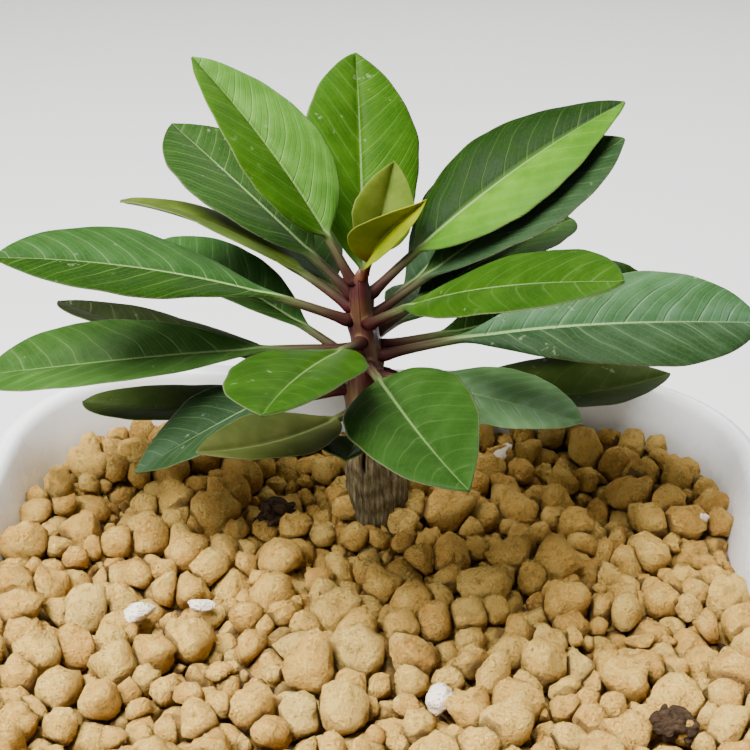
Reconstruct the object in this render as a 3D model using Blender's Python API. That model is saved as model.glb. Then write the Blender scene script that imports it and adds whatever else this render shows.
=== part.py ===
"""Potted fouquieria: a short caudex with broad leaves, in a square pot of coarse tan granules.

Metres, +Z up. The origin is the middle of the pot's flat base. The lip's straight sides face
+X, -X, +Y and -Y, and the viewer of the photograph stands on the -Y side.
"""
import math

import bmesh
import bpy
import numpy as np
from mathutils import Matrix, Vector
from mathutils.geometry import delaunay_2d_cdt

MM = 0.001
GAP = 0.0003            # clearance between solids that touch

# Pot
POT_HEIGHT = 0.090
RIM_HALF = 0.065        # half the width over the lip
RIM_CORNER = 0.029
LIP_WIDTH = 0.0045
LIP_DEPTH = 0.006
WALL = 0.0022
BASE_HALF = 0.049
BASE_CORNER = 0.022
BASE_EDGE = 0.002       # rounding where the wall meets the base
FLOOR = 0.003
DRAIN_RADIUS = 0.004
DRAIN_OFFSET = 0.022
GROOVE_WIDTH = 0.006
GROOVE_DEPTH = 0.0015
CORNER_STEPS = 7

# Growing medium
SOIL_Z = POT_HEIGHT - 0.008
SOIL_DROP = 0.0016      # the bed's edge lies this far below its mean surface
GRAIN_PITCH = 0.0076    # mean distance between two grains of the surface
GRAIN_JITTER = 0.0012
GRAIN_SEED = 11

# Stem: height above the soil, sideways offset and radius, in millimetres
STEM_X = 0.0
STEM_Y = 0.028
STEM_RINGS = (
    (-24.0, 1.2, 3.0), (-12.0, 1.2, 3.8), (0.0, 1.2, 4.3), (5.0, 0.6, 4.8), (10.0, 0.1, 4.7),
    (15.0, -0.5, 4.0), (20.0, -1.2, 3.2), (25.0, -1.4, 2.7), (31.0, -1.3, 2.2),
    (36.0, -2.0, 1.75), (40.0, -2.1, 1.35), (42.0, -2.2, 1.0), (44.0, -2.2, 0.6),
)
STEM_HOLE_RADIUS = 0.0050
STEM_HOLE_DEPTH = 0.0246

# Leaves. One row for each, from the lowest node up, in millimetres and degrees:
# node height, heading (0 is +X, 90 is away from the viewer), turn along the leaf, rise at the
# stem, bend along the leaf (down is negative), length, width, roll, fold, base power (1 is a
# straight wedge toward the stalk, less is rounder) and tip power (the same toward the tip)
LEAVES = {
    "leaf_01": (21.5, 246, -34, 12, 4, 37.0, 12.0, -8, 13, 0.75, 0.75),
    "leaf_02": (18.0, 263, 4, 11, 12, 19.0, 11.0, 3, 19, 1.00, 0.75),
    "leaf_03": (23.0, 170, -5, -22, 22, 47.5, 15.0, 3, 11, 1.00, 0.75),
    "leaf_04": (26.0, 8, 19, -21, 29, 49.5, 17.0, 2, 19, 0.95, 0.80),
    "leaf_05": (26.0, 167, -21, 2, 1, 54.0, 17.0, 16, 11, 0.95, 0.80),
    "leaf_06": (26.5, -38, 14, 14, -15, 36.0, 15.5, 6, 5, 0.95, 0.85),
    "leaf_07": (28.5, 283, 15, 17, -17, 48.5, 18.5, 19, 20, 0.90, 0.80),
    "leaf_08": (27.5, 140, -8, 13, -15, 50.5, 14.5, -4, 16, 1.00, 0.75),
    "leaf_09": (28.5, 204, -12, -12, -19, 37.5, 16.5, 0, 11, 0.90, 0.80),
    "leaf_10": (29.5, -6, 17, 20, -26, 58.5, 17.0, 34, 9, 1.20, 0.70),
    "leaf_11": (30.5, 27, 16, -3, 9, 51.0, 18.0, 10, 16, 1.05, 0.70),
    "leaf_12": (30.5, 190, -35, 6, -25, 61.0, 17.0, -14, 15, 1.15, 0.70),
    "leaf_13": (32.5, 255, 10, 20, -8, 48.5, 18.0, 3, 7, 0.75, 0.65),
    "leaf_14": (31.0, 71, 6, -9, -16, 49.5, 17.0, 0, 14, 1.00, 0.70),
    "leaf_15": (32.5, 48, -5, 12, -11, 48.0, 16.5, 1, 14, 1.00, 0.70),
    "leaf_16": (33.0, 94, 3, 46, -6, 49.0, 20.0, 17, 7, 0.85, 0.80),
    "leaf_17": (34.5, 56, 24, 11, 7, 45.5, 17.0, -3, 14, 1.10, 0.70),
    "leaf_18": (35.5, 192, 4, 26, -20, 54.0, 17.5, -10, 6, 1.20, 0.75),
    "leaf_19": (35.5, 116, -3, 8, -27, 47.5, 17.0, 0, 14, 1.00, 0.70),
    "leaf_20": (36.0, 20, -3, 33, -3, 47.0, 17.0, 15, 11, 1.00, 0.75),
    "leaf_21": (35.5, -52, 15, 37, -21, 54.5, 16.5, 17, 4, 1.00, 0.75),
    "leaf_22": (37.0, 150, 10, 26, -28, 45.0, 16.0, 19, 7, 1.00, 0.70),
    "leaf_23": (39.0, 137, -2, 24, -7, 47.5, 18.5, -2, 5, 1.00, 0.80),
    "leaf_24": (39.5, 27, -8, 39, -16, 49.5, 18.5, 15, 7, 0.70, 0.85),
    "leaf_25": (41.5, 158, -1, 61, -21, 41.5, 18.0, -11, 13, 0.65, 0.90),
    "young_leaf_1": (42.5, 50, 3, 62, 13, 18.0, 10.5, 38, 28, 0.70, 0.90),
    "young_leaf_2": (42.5, -54, 59, 69, -30, 19.5, 10.5, 88, 56, 0.60, 1.00),
}
BLADE_START = 0.2       # share of a leaf's length that is petiole
PETIOLE_RADIUS = 0.75 * MM
YOUNG_PETIOLE_RADIUS = 0.50 * MM
BLADE_HALF_THICKNESS = 0.35 * MM
MIDRIB_DEPTH = 0.60 * MM
ARCH = 0.05             # how far each half of a blade bulges, as a share of its width
LEAF_STATIONS = (0.0, 0.07, 0.15, 0.22, 0.30, 0.41, 0.54, 0.68, 0.81, 0.93, 1.0)
PATH_STEPS = 48

# Loose pieces among the grains: x, y, radius, length factor, turn in degrees
PUMICE_CHIPS = (
    (-34.0, -1.0, 2.0, 1.35, 10), (-25.0, 1.0, 1.5, 1.4, 35), (21.0, 46.0, 2.1, 1.45, 80),
    (11.0, -18.0, 2.1, 1.3, 60), (52.0, 28.0, 2.0, 1.5, -20),
)
BARK_CHIPS = ((-16.5, 26.0, 3.2, 1.2, 20), (42.0, -22.0, 3.0, 1.3, -30))
CHIP_SINK = 0.25        # share of its radius that a chip's middle lies below the surface


def clear_scene():
    for obj in list(bpy.data.objects):
        bpy.data.objects.remove(obj, do_unlink=True)


def new_collection(name):
    collection = bpy.data.collections.new(name)
    bpy.context.scene.collection.children.link(collection)
    return collection


def material(name, colour, roughness):
    mat = bpy.data.materials.new(name)
    mat.use_nodes = True
    shader = mat.node_tree.nodes["Principled BSDF"]
    shader.inputs["Base Color"].default_value = (*colour, 1.0)
    shader.inputs["Roughness"].default_value = roughness
    shader.inputs["Metallic"].default_value = 0.0
    return mat


def add_object(name, mesh, collection, mat=None):
    obj = bpy.data.objects.new(name, mesh)
    collection.objects.link(obj)
    if mat is not None:
        mesh.materials.append(mat)
    return obj


def smooth(obj, angle=40.0):
    obj.data.shade_smooth()
    obj.data.set_sharp_from_angle(angle=math.radians(angle))


def cut(obj, cutter):
    """Subtract the cutter with a Boolean, and hide it as a guide."""
    cutter.hide_render = True
    cutter.display_type = "WIRE"
    modifier = obj.modifiers.new("cut_" + cutter.name, "BOOLEAN")
    modifier.operation = "DIFFERENCE"
    modifier.object = cutter


def rounded_square(half, corner, z):
    """Ring of points, counter-clockwise from above: four arcs joined by straight sides."""
    ring = []
    for quarter in range(4):
        sx, sy = ((1, 1), (-1, 1), (-1, -1), (1, -1))[quarter]
        for step in range(CORNER_STEPS + 1):
            angle = math.radians(90.0 * (quarter + step / CORNER_STEPS))
            x = sx * (half - corner) + corner * math.cos(angle)
            y = sy * (half - corner) + corner * math.sin(angle)
            ring.append((x, y, z))
    return ring


def loft(name, rings):
    """Closed mesh skinned through rings of equal count, with a flat cap at each end."""
    count = len(rings[0])
    verts = [point for ring in rings for point in ring]
    faces = [tuple(reversed(range(count)))]
    for level in range(len(rings) - 1):
        low, high = level * count, (level + 1) * count
        for i in range(count):
            j = (i + 1) % count
            faces.append((low + i, low + j, high + j, high + i))
    top = (len(rings) - 1) * count
    faces.append(tuple(range(top, top + count)))
    mesh = bpy.data.meshes.new(name)
    mesh.from_pydata(verts, [], faces)
    return mesh


def inner_wall(z):
    """Half width and corner radius of the pot's inside at height z."""
    share = (z - FLOOR) / (POT_HEIGHT - FLOOR)
    half = BASE_HALF - WALL + share * (RIM_HALF - LIP_WIDTH - BASE_HALF + WALL)
    corner = BASE_CORNER - WALL + share * (RIM_CORNER - LIP_WIDTH - BASE_CORNER + WALL)
    return half, corner


def pot_rings():
    """Up the outer wall, round the lip, down the inner wall and in over the floor."""
    under = POT_HEIGHT - LIP_DEPTH
    body_half, body_corner = inner_wall(under)
    rings = [rounded_square(BASE_HALF - BASE_EDGE, BASE_CORNER - BASE_EDGE, 0.0)]
    rings.append(rounded_square(BASE_HALF - 0.3 * BASE_EDGE, BASE_CORNER, 0.3 * BASE_EDGE))
    rings.append(rounded_square(BASE_HALF, BASE_CORNER, BASE_EDGE))
    rings.append(rounded_square(body_half + WALL, body_corner + WALL, under))
    for angle in (-60, -20, 20, 55, 90, 125, 160):
        out = math.cos(math.radians(angle))
        lift = math.sin(math.radians(angle))
        reach = LIP_WIDTH / 2
        half = RIM_HALF - reach + reach * out
        corner = RIM_CORNER - reach + reach * out
        z = POT_HEIGHT - LIP_DEPTH / 2 + LIP_DEPTH / 2 * lift
        rings.append(rounded_square(half, corner, z))
    inside_half, inside_corner = inner_wall(under)
    rings.append(rounded_square(inside_half, inside_corner, under))
    floor_half, floor_corner = inner_wall(FLOOR)
    rings.append(rounded_square(floor_half, floor_corner, FLOOR))
    return rings


def build_pot(parts, cutters):
    mesh = loft("pot", pot_rings())
    pot = add_object("pot", mesh, parts, material("white_plastic", (0.86, 0.86, 0.85), 0.28))
    for i, sx in enumerate((-1, 1)):
        groove = bmesh.new()
        bmesh.ops.create_cube(groove, size=1.0)
        size = Matrix.Diagonal((GROOVE_WIDTH, 3 * BASE_HALF, 2 * GROOVE_DEPTH, 1.0))
        place = Matrix.Translation((sx * DRAIN_OFFSET, 0.0, 0.0))
        bmesh.ops.transform(groove, matrix=place @ size, verts=groove.verts)
        groove_mesh = bpy.data.meshes.new("groove")
        groove.to_mesh(groove_mesh)
        groove.free()
        cut(pot, add_object(f"groove_cutter_{i}", groove_mesh, cutters))
        for j, sy in enumerate((-1, 1)):
            place = Matrix.Translation((sx * DRAIN_OFFSET, sy * DRAIN_OFFSET, FLOOR / 2))
            hole_mesh = cylinder_mesh("drain", DRAIN_RADIUS, 3 * FLOOR, 16, place)
            cut(pot, add_object(f"drain_cutter_{i}{j}", hole_mesh, cutters))
    smooth(pot)
    return pot


def cylinder_mesh(name, radius, depth, segments, place):
    work = bmesh.new()
    bmesh.ops.create_cone(work, cap_ends=True, segments=segments, radius1=radius,
                          radius2=radius, depth=depth, matrix=place)
    mesh = bpy.data.meshes.new(name)
    work.to_mesh(mesh)
    work.free()
    return mesh


def inside_square(x, y, half, corner):
    """Distance of a point to the edge of a rounded square, positive inside it."""
    dx = max(abs(x) - (half - corner), 0.0)
    dy = max(abs(y) - (half - corner), 0.0)
    if dx > 0.0 and dy > 0.0:
        return corner - math.hypot(dx, dy)
    return half - max(abs(x), abs(y))


def stem_at(height):
    """Centre and radius of the stem at a height above the soil, both in metres."""
    heights, offsets, radii = zip(*STEM_RINGS)
    x = STEM_X + float(np.interp(height / MM, heights, offsets)) * MM
    radius = float(np.interp(height / MM, heights, radii)) * MM
    return Vector((x, STEM_Y, SOIL_Z + height)), radius


def grain_sites():
    """Staggered rows of surface grains, each moved a little: x, y and lift of its crown."""
    half, corner = inner_wall(SOIL_Z)
    rng = np.random.default_rng(GRAIN_SEED)
    stem, _ = stem_at(0.0)
    row_step = GRAIN_PITCH * math.sqrt(0.75)
    rows = int(2 * half / row_step) + 1
    sites = []
    for row in range(rows):
        for column in range(int(2 * half / GRAIN_PITCH) + 2):
            shift = rng.uniform(-GRAIN_JITTER, GRAIN_JITTER, 2)
            lift = rng.uniform(-0.0006, 0.0009)
            x = (column + 0.5 * (row % 2)) * GRAIN_PITCH - half + shift[0]
            y = (row + 0.5) * row_step - half + shift[1]
            if inside_square(x, y, half, corner) < 0.55 * GRAIN_PITCH:
                continue
            if math.hypot(x - stem.x, y - stem.y) < STEM_HOLE_RADIUS + 0.5 * GRAIN_PITCH:
                continue
            sites.append((x, y, lift))
    return sites


def grain_points(sites):
    """Each grain is a flat crown of five points over a skirt of five, low in the valley."""
    points = []
    for i, (x, y, lift) in enumerate(sites):
        nearest = min(math.hypot(x - a, y - b) for j, (a, b, _) in enumerate(sites) if j != i)
        radius = 0.5 * (0.5 * nearest + 0.5 * GRAIN_PITCH)
        for count, reach, drop in ((5, 0.55, 0.0), (5, 0.92, 0.62)):
            for k in range(count):
                angle = 2 * math.pi * (k + 0.37 * i) / count
                px = x + reach * radius * math.cos(angle)
                py = y + reach * radius * math.sin(angle)
                points.append((px, py, SOIL_Z + lift - drop * radius))
    return points


def substrate_mesh():
    """The grains' relief as a triangulated top, closed by tapered sides and a flat bottom."""
    top_half, top_corner = inner_wall(SOIL_Z)
    edge = rounded_square(top_half - GAP, top_corner, SOIL_Z - SOIL_DROP)
    count = len(edge)
    points = edge + grain_points(grain_sites())
    flat = [Vector((x, y)) for x, y, _ in points]
    rim = [(i, (i + 1) % count) for i in range(count)]
    verts2, _, faces, origin, _, _ = delaunay_2d_cdt(flat, rim, [], 1, 1e-7)
    heights = [points[source[0]][2] for source in origin]
    verts = [(v.x, v.y, z) for v, z in zip(verts2, heights)]
    bottom_half, bottom_corner = inner_wall(FLOOR + GAP)
    base = rounded_square(bottom_half - GAP, bottom_corner, FLOOR + GAP)
    place = {source[0]: i for i, source in enumerate(origin)}
    start = len(verts)
    verts += base
    faces = [tuple(face) for face in faces]
    for i in range(count):
        j = (i + 1) % count
        faces.append((start + i, start + j, place[j], place[i]))
    faces.append(tuple(reversed(range(start, start + count))))
    mesh = bpy.data.meshes.new("substrate")
    mesh.from_pydata(verts, [], faces)
    return mesh


def build_substrate(parts, cutters):
    mat = material("tan_granules", (0.55, 0.36, 0.15), 0.95)
    substrate = add_object("substrate", substrate_mesh(), parts, mat)
    stem, _ = stem_at(0.0)
    reach = 0.010
    middle = SOIL_Z + (reach - STEM_HOLE_DEPTH) / 2
    place = Matrix.Translation((stem.x, stem.y, middle))
    mesh = cylinder_mesh("stem_hole", STEM_HOLE_RADIUS, reach + STEM_HOLE_DEPTH, 20, place)
    cut(substrate, add_object("stem_hole_cutter", mesh, cutters))
    return substrate


def build_stem(parts):
    """Caudex, stem and buried root in one tapering tube that wavers a little."""
    curve = bpy.data.curves.new("stem", "CURVE")
    curve.dimensions = "3D"
    curve.bevel_depth = 1.0 * MM
    curve.bevel_resolution = 3
    curve.use_fill_caps = True
    heights = [row[0] for row in STEM_RINGS]
    stations = np.unique(np.concatenate([heights, np.linspace(-10.0, 44.0, 12)]))
    spline = curve.splines.new("POLY")
    spline.points.add(len(stations) - 1)
    for point, height in zip(spline.points, stations):
        centre, radius = stem_at(height * MM)
        point.co = (*centre, 1.0)
        point.radius = radius / MM
    guide = bpy.data.objects.new("stem_curve", curve)
    parts.objects.link(guide)
    graph = bpy.context.evaluated_depsgraph_get()
    mesh = bpy.data.meshes.new_from_object(guide.evaluated_get(graph))
    bpy.data.objects.remove(guide, do_unlink=True)
    work = bmesh.new()
    work.from_mesh(mesh)
    bmesh.ops.remove_doubles(work, verts=work.verts, dist=1e-6)
    work.to_mesh(mesh)
    work.free()
    stem = add_object("stem", mesh, parts, material("bark", (0.20, 0.13, 0.09), 0.75))
    smooth(stem)


def leaf_path(row):
    """Points, headings and rises along a leaf's midrib, from the stem to the tip."""
    node, heading, turn, rise, bend, length = row[:6]
    centre, radius = stem_at(node * MM)
    start = math.radians(heading)
    s = np.linspace(0.0, 1.0, PATH_STEPS + 1)
    yaw = start + math.radians(turn) * s * s
    pitch = math.radians(rise) + math.radians(bend) * s
    step = np.stack([np.cos(pitch) * np.cos(yaw), np.cos(pitch) * np.sin(yaw), np.sin(pitch)], 1)
    run = np.cumsum((step[1:] + step[:-1]) / 2, axis=0) * length * MM / PATH_STEPS
    seat = np.array(centre) + (radius + GAP) * np.array([math.cos(start), math.sin(start), 0.0])
    return s, seat + np.vstack([[0.0, 0.0, 0.0], run]), yaw, pitch


def leaf_section(width, s, fold, ends, petiole):
    """Ten points round a section, as (across, up): the upper face, then the lower one."""
    t = max(s - BLADE_START, 0.0) / (1.0 - BLADE_START)
    base_power, tip_power = ends
    widest = base_power / (base_power + tip_power)
    outline = (t / widest) ** base_power * ((1.0 - t) / (1.0 - widest)) ** tip_power
    blade = width / 2 * outline
    rib = petiole * (1.0 - 0.7 * s)
    half = math.hypot(blade, rib)
    flat = min(blade / (2.5 * petiole), 1.0)
    top = rib + (BLADE_HALF_THICKNESS - rib) * flat
    under = rib + (max(MIDRIB_DEPTH * (1.0 - 0.6 * s), BLADE_HALF_THICKNESS) - rib) * flat
    middle = rib * 0.8 + (BLADE_HALF_THICKNESS - rib * 0.8) * flat
    margin = min(0.3 * MM, rib)
    columns = ((-1.0, margin, margin), (-0.55, middle, middle), (0.0, top, under),
               (0.55, middle, middle), (1.0, margin, margin))
    upper, lower = [], []
    for u, above, below in columns:
        across = u * half * math.cos(fold)
        lift = abs(u) * blade * math.sin(fold) + ARCH * 4 * abs(u) * (1 - abs(u)) * blade
        upper.append((across, lift + above))
        lower.append((across, lift - below))
    return upper + lower[::-1]


def leaf_mesh(name, row, petiole):
    """Skin the sections. Both faces of the blade are split along the same diagonals."""
    s, path, yaw, pitch = leaf_path(row)
    width, roll, fold, ends = row[6] * MM, math.radians(row[7]), math.radians(row[8]), row[9:]
    verts = []
    for station in LEAF_STATIONS:
        point = np.array([np.interp(station, s, path[:, axis]) for axis in range(3)])
        a = float(np.interp(station, s, yaw))
        p = float(np.interp(station, s, pitch)) * min(station / LEAF_STATIONS[1], 1.0)
        along = np.array([math.cos(p) * math.cos(a), math.cos(p) * math.sin(a), math.sin(p)])
        side = np.array([-math.sin(a), math.cos(a), 0.0])
        up = np.cross(along, side)
        across = math.cos(roll) * side + math.sin(roll) * up
        normal = -math.sin(roll) * side + math.cos(roll) * up
        for x, z in leaf_section(width, station, fold, ends, petiole):
            verts.append(tuple(point + x * across + z * normal))
    count = 10
    faces = [tuple(range(count))]
    for level in range(len(LEAF_STATIONS) - 1):
        low, high = level * count, (level + 1) * count
        for i in range(count):
            j = (i + 1) % count
            if i < count // 2:
                faces += [(low + i, high + i, high + j), (low + i, high + j, low + j)]
            else:
                faces += [(low + i, high + i, low + j), (high + i, high + j, low + j)]
    top = (len(LEAF_STATIONS) - 1) * count
    faces.append(tuple(reversed(range(top, top + count))))
    mesh = bpy.data.meshes.new(name)
    mesh.from_pydata(verts, [], faces)
    return mesh


def build_leaves(parts):
    green = material("leaf_green", (0.10, 0.26, 0.05), 0.40)
    olive = material("young_leaf_olive", (0.30, 0.33, 0.03), 0.40)
    for name, row in LEAVES.items():
        young = name.startswith("young")
        petiole = YOUNG_PETIOLE_RADIUS if young else PETIOLE_RADIUS
        add_object(name, leaf_mesh(name, row, petiole), parts, olive if young else green)


def chip_mesh(name, row, grow):
    """A faceted pebble, longer than it is wide, lying in the surface."""
    x, y, radius, stretch, turn = row
    work = bmesh.new()
    bmesh.ops.create_icosphere(work, subdivisions=1, radius=1.0)
    size = ((radius * stretch + grow) * MM, (radius + grow) * MM, (0.8 * radius + grow) * MM)
    place = Matrix.Translation((x * MM, y * MM, SOIL_Z - CHIP_SINK * radius * MM))
    spin = Matrix.Rotation(math.radians(turn), 4, "Z")
    matrix = place @ spin @ Matrix.Diagonal((*size, 1.0))
    bmesh.ops.transform(work, matrix=matrix, verts=work.verts)
    mesh = bpy.data.meshes.new(name)
    work.to_mesh(mesh)
    work.free()
    return mesh


def build_chips(parts, cutters, substrate):
    pocket_margin = 0.35
    kinds = (("pumice_chip", PUMICE_CHIPS, material("pumice", (0.75, 0.72, 0.68), 0.9)),
             ("bark_chip", BARK_CHIPS, material("dark_bark", (0.05, 0.03, 0.02), 0.9)))
    for kind, rows, mat in kinds:
        for i, row in enumerate(rows, start=1):
            name = f"{kind}_{i}"
            add_object(name, chip_mesh(name, row, 0.0), parts, mat)
            pocket = add_object(name + "_pocket", chip_mesh("pocket", row, pocket_margin), cutters)
            cut(substrate, pocket)


def main():
    clear_scene()
    parts = new_collection("potted_fouquieria")
    cutters = new_collection("cutters")
    build_pot(parts, cutters)
    substrate = build_substrate(parts, cutters)
    build_chips(parts, cutters, substrate)
    build_stem(parts)
    build_leaves(parts)


main()
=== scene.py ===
import math

import bmesh
import bpy
import numpy as np
from mathutils import Matrix, Vector
from numpy.linalg import norm


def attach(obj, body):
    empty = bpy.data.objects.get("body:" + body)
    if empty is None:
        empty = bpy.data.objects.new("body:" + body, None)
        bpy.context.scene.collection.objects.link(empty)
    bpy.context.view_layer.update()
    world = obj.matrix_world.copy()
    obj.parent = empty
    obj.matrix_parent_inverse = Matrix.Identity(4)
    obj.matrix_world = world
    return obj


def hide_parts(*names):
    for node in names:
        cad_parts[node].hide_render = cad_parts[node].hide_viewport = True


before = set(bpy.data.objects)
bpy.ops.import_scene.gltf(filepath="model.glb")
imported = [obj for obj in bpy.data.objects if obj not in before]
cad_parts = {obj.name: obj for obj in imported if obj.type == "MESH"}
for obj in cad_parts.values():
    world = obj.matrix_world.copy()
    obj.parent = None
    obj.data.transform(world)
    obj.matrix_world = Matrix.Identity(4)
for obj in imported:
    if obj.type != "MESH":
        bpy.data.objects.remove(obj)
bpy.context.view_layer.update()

# Floor, light and camera.
# A plain pale floor, a soft lamp high on the left with weaker ones low and behind, and
# the camera where the photograph was taken: close, a little left of square, looking down.

# Metres, degrees and, for the lens, mm. A lamp has its place, its size and its power.
POT_HEIGHT = 0.090
SOIL_Z = POT_HEIGHT - 0.008
EYE = (0.0092, -0.1727, POT_HEIGHT + 0.1269)
EYE_TILT_DOWN = 28.5
EYE_TURN = 2.6
FOCAL_LENGTH = 69.6
WORLD_LIGHT = (1.0, 0.98, 0.93, 1.0)
WORLD_STRENGTH = 0.28
LAMP_AIM = (0.0, 0.02, 0.10)
LAMPS = (("key_lamp", (-0.24, -0.17, 0.78), 0.48, 25.6),
         ("fill_lamp", (-0.55, -0.30, 0.36), 0.40, 2.2),
         ("back_lamp", (0.20, 0.60, 0.60), 0.40, 2.8))


def put_in_scene(thing):
    bpy.context.scene.collection.objects.link(thing)


def soft_lamp(name, place, size, power):
    """A square area lamp that faces the middle of the plant."""
    lamp = bpy.data.lights.new(name, "AREA")
    lamp.size = size
    lamp.energy = power
    holder = bpy.data.objects.new(name, lamp)
    holder.location = place
    aim = Vector(LAMP_AIM) - holder.location
    holder.rotation_euler = aim.to_track_quat("-Z", "Y").to_euler()
    put_in_scene(holder)


for lamp in LAMPS:
    soft_lamp(*lamp)

world = bpy.data.worlds.new("studio")
world.use_nodes = True
sky = world.node_tree.nodes["Background"]
sky.inputs["Color"].default_value = WORLD_LIGHT
sky.inputs["Strength"].default_value = WORLD_STRENGTH
bpy.context.scene.world = world

camera_data = bpy.data.cameras.new("camera")
camera_data.lens = FOCAL_LENGTH
camera_data.clip_start = 0.01
camera = bpy.data.objects.new("camera", camera_data)
camera.location = EYE
camera.rotation_euler = (math.radians(90.0 - EYE_TILT_DOWN), 0.0, math.radians(EYE_TURN))
put_in_scene(camera)
bpy.context.scene.camera = camera


class Paint:
    """Builds one material's nodes: each call adds a node and gives back its output."""

    def __init__(self, name):
        self.material = bpy.data.materials.new(name)
        self.material.use_nodes = True
        self.nodes = self.material.node_tree.nodes
        self.links = self.material.node_tree.links
        self.shader = self.nodes["Principled BSDF"]

    def feed(self, socket, value):
        """Links a node's output to the socket, or sets the socket to a number or colour."""
        if isinstance(value, bpy.types.NodeSocket):
            self.links.new(value, socket)
        elif isinstance(value, tuple) and len(value) == 3 and len(socket.default_value) == 4:
            socket.default_value = (*value, 1.0)
        else:
            socket.default_value = value

    def set(self, **values):
        """Feeds the shader's inputs, named with _ for each space."""
        for name, value in values.items():
            self.feed(self.shader.inputs[name.replace("_", " ")], value)

    def place(self):
        return self.nodes.new("ShaderNodeTexCoord").outputs["Object"]

    def stretched(self, vector, scale):
        node = self.nodes.new("ShaderNodeMapping")
        self.feed(node.inputs["Vector"], vector)
        node.inputs["Scale"].default_value = scale
        return node.outputs["Vector"]

    def uv(self):
        return self.nodes.new("ShaderNodeUVMap").outputs["UV"]

    def attribute(self, name, output="Fac"):
        node = self.nodes.new("ShaderNodeAttribute")
        node.attribute_name = name
        return node.outputs[output]

    def split(self, vector):
        node = self.nodes.new("ShaderNodeSeparateXYZ")
        self.feed(node.inputs[0], vector)
        return node.outputs

    def noise(self, vector, scale, detail=4.0, roughness=0.55):
        node = self.nodes.new("ShaderNodeTexNoise")
        self.feed(node.inputs["Vector"], vector)
        node.inputs["Scale"].default_value = scale
        node.inputs["Detail"].default_value = detail
        node.inputs["Roughness"].default_value = roughness
        return node.outputs["Fac"]

    def cells(self, vector, scale, feature="F1"):
        node = self.nodes.new("ShaderNodeTexVoronoi")
        node.feature = feature
        self.feed(node.inputs["Vector"], vector)
        node.inputs["Scale"].default_value = scale
        return node.outputs["Distance"]

    def math(self, operation, first, second=0.0, third=0.0):
        node = self.nodes.new("ShaderNodeMath")
        node.operation = operation
        for socket, value in zip(node.inputs, (first, second, third)):
            self.feed(socket, value)
        return node.outputs[0]

    def times(self, product, *factors):
        for factor in factors:
            product = self.math("MULTIPLY", product, factor)
        return product

    def span(self, value, low, high, to_low=0.0, to_high=1.0, smooth=True):
        """Maps low..high to to_low..to_high, held at both ends."""
        node = self.nodes.new("ShaderNodeMapRange")
        node.interpolation_type = "SMOOTHSTEP" if smooth else "LINEAR"
        for socket, number in zip(node.inputs, (value, low, high, to_low, to_high)):
            self.feed(socket, number)
        return node.outputs["Result"]

    def mix(self, share, first, second, blend="MIX"):
        """The first colour with a share of the second over it. 6, 7 and 2 are its colours."""
        node = self.nodes.new("ShaderNodeMix")
        node.data_type = "RGBA"
        node.blend_type = blend
        self.feed(node.inputs["Factor"], share)
        self.feed(node.inputs[6], first)
        self.feed(node.inputs[7], second)
        return node.outputs[2]

    def tinted(self, colour, by):
        return self.mix(1.0, colour, by, blend="MULTIPLY")

    def ramp(self, value, stops):
        """Colours between the (place, colour) stops."""
        node = self.nodes.new("ShaderNodeValToRGB")
        elements = node.color_ramp.elements
        while len(elements) < len(stops):
            elements.new(0.5)
        for element, (place, colour) in zip(elements, stops):
            element.position = place
            element.color = (*colour, 1.0)
        self.feed(node.inputs["Fac"], value)
        return node.outputs["Color"]

    def bump(self, height, depth, strength=1.0, before=None):
        """Relief of the given depth in metres, laid over the one before."""
        node = self.nodes.new("ShaderNodeBump")
        node.inputs["Strength"].default_value = strength
        node.inputs["Distance"].default_value = depth
        self.feed(node.inputs["Height"], height)
        if before is not None:
            self.feed(node.inputs["Normal"], before)
        return node.outputs["Normal"]


floor_paint = Paint("pale_floor")
floor_paint.set(Base_Color=(0.80, 0.80, 0.79), Roughness=0.75)
FLOOR_SIZE = 6.0
floor_mesh = bpy.data.meshes.new("floor")
corners = np.array([(-1, -1, 0), (1, -1, 0), (1, 1, 0), (-1, 1, 0)]) * FLOOR_SIZE / 2
floor_mesh.from_pydata(corners, [], [(0, 1, 2, 3)])
floor_mesh.materials.append(floor_paint.material)
floor = bpy.data.objects.new("floor", floor_mesh)
put_in_scene(floor)


# Pot.
# A square pot moulded in white plastic, with rounded corners, tapered walls and a thick
# rolled lip. It stands on its flat base, which has drainage holes in two shallow grooves.
RIM_HALF = 0.065
RIM_CORNER = 0.029
LIP_WIDTH = 0.0045
LIP_DEPTH = 0.006
WALL = 0.0022
BASE_HALF = 0.049
BASE_CORNER = 0.022
BASE_EDGE = 0.002
BASE_PAD_HALF = BASE_HALF - 0.012
BASE_PAD_CORNER = BASE_CORNER - 0.010
INNER_EDGE = 0.002
POT_FLOOR = 0.003
DRAIN_RADIUS = 0.004
DRAIN_OFFSET = 0.022
GROOVE_WIDTH = 0.006
GROOVE_DEPTH = 0.0015


def make_piece(name, verts, faces, material, node, body="root"):
    """A smooth mesh object at the origin, riding on the one body, standing for its node."""
    mesh = bpy.data.meshes.new(name)
    mesh.from_pydata(np.reshape(verts, (-1, 3)), [], faces)
    mesh.materials.append(material)
    mesh.shade_smooth()
    piece = bpy.data.objects.new(name, mesh)
    put_in_scene(piece)
    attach(piece, body)
    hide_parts(node)
    return piece


def inner_wall(z):
    """Half width and corner radius of the pot's inside, in even taper from floor to lip."""
    share = (z - POT_FLOOR) / (POT_HEIGHT - POT_FLOOR)
    half = BASE_HALF - WALL + share * (RIM_HALF - LIP_WIDTH - BASE_HALF + WALL)
    corner = BASE_CORNER - WALL + share * (RIM_CORNER - LIP_WIDTH - BASE_CORNER + WALL)
    return half, corner


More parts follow.
